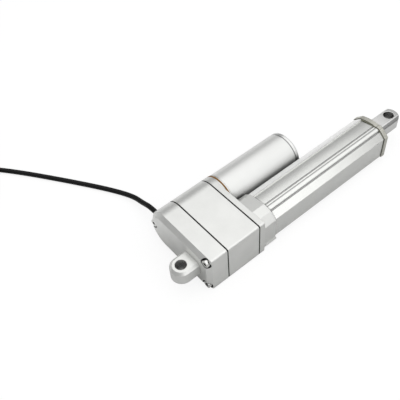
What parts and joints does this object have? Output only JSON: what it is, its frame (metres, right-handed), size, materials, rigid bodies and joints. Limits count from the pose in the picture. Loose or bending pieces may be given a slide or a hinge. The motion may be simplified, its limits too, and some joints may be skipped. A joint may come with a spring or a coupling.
{
  "type": "electric linear actuator",
  "caption": "Parallel-motor linear actuator: geared motor beside a screw-driven rod in an extruded tube, with a bored eye at each end and a free cord.",
  "frame": {"origin": "centre of the rear eye's bore", "axes": "+X along the rod towards its eye, +Z along both eye bores, motor on the +Y side"},
  "size_m": [0.3956, 0.2822, 0.04],
  "materials": {
    "cast_silver": "silver paint on die castings",
    "anodised": "satin natural anodised extrusion",
    "motor_silver": "satin silver coat on a steel can",
    "rod_metal": "ground and polished stainless steel",
    "screw_steel": "zinc plated steel",
    "machined_steel": "machined steel",
    "bearing_steel": "ground bearing steel",
    "magnet_ferrite": "dark sintered ferrite",
    "core_steel": "stacked laminations",
    "winding_copper": "enamelled copper wire",
    "commutator_copper": "bare copper segments",
    "sintered_bronze": "oil-filled sintered bronze",
    "brush_carbon": "carbon",
    "nylon_white": "moulded acetal",
    "amber_plastic": "amber insulating board",
    "black_plastic": "moulded black plastic",
    "black_rubber": "moulded rubber",
    "seal_grey": "pressed gasket sheet",
    "board_green": "glass-fibre circuit board",
    "cord_black": "smooth black cable jacket",
    "core_jacket": "insulated cores, bared at the tips"
  },
  "bodies": {
    "housing": {"rear_cover": "cast_silver", "rear_seal": "seal_grey", "gearbox_body": "cast_silver", "front_seal": "seal_grey", "front_flange": "cast_silver", "housing_screws": "screw_steel", "outer_tube": "anodised", "tube_screws": "screw_steel", "cap_gasket": "black_rubber", "front_cap": "cast_silver", "cap_screws": "screw_steel", "rod_wiper": "black_rubber", "rod_guide_bush": "nylon_white", "bearing_outer_rings": "bearing_steel", "idler_axle": "machined_steel", "motor_base_ring": "amber_plastic", "motor_can": "motor_silver", "motor_magnets": "magnet_ferrite", "brush_plate": "black_plastic", "motor_brushes": "brush_carbon", "motor_end_cap": "motor_silver", "motor_bushes": "sintered_bronze", "shaft_bush": "sintered_bronze", "motor_screws": "screw_steel", "limit_switch_board": "board_green", "limit_switches": "black_plastic", "cable_grommet": "black_rubber", "cord_run": "cord_black", "cord_coil": "cord_black", "cord_tie": "black_plastic", "cord_leads": "core_jacket"},
    "rod": {"push_rod": "rod_metal", "drive_nut": "nylon_white", "nut_pins": "machined_steel"},
    "screw": {"lead_screw": "machined_steel", "screw_gear": "machined_steel", "screw_spacer": "machined_steel", "retaining_ring": "machined_steel", "bearing_inner_rings": "bearing_steel"},
    "ball_cages": {"bearing_balls": "bearing_steel", "bearing_cages": "sintered_bronze"},
    "idler": {"idler_wheel": "nylon_white", "idler_pinion": "machined_steel"},
    "rotor": {"motor_shaft": "machined_steel", "motor_pinion": "sintered_bronze", "rotor_core": "core_steel", "rotor_windings": "winding_copper", "commutator": "commutator_copper"}
  },
  "joints": [
    {"name": "rod_slide", "type": "slide", "parent": "housing", "child": "rod", "axis": [1, 0, 0], "range_m": [0, 0.15]},
    {"name": "screw_spin", "type": "hinge", "parent": "housing", "child": "screw", "pos_m": [0.03, 0, 0], "axis": [1, 0, 0], "range_deg": [-18000, 0]},
    {"name": "ball_orbit", "type": "hinge", "parent": "housing", "child": "ball_cages", "pos_m": [0.03, 0, 0], "axis": [1, 0, 0], "range_deg": [-6680, 0]},
    {"name": "idler_spin", "type": "hinge", "parent": "housing", "child": "idler", "pos_m": [0.03, 0.021, 0], "axis": [1, 0, 0], "range_deg": [0, 45000]},
    {"name": "motor_spin", "type": "hinge", "parent": "housing", "child": "rotor", "pos_m": [0.1, 0.039, 0], "axis": [1, 0, 0], "range_deg": [-123750, 0]}
  ],
  "couplings": [
    {"joint": "screw_spin", "follows": "rod_slide", "rad_per_m": -2094.4},
    {"joint": "ball_orbit", "follows": "rod_slide", "rad_per_m": -776.73},
    {"joint": "idler_spin", "follows": "rod_slide", "rad_per_m": 5236},
    {"joint": "motor_spin", "follows": "rod_slide", "rad_per_m": -14399}
  ]
}
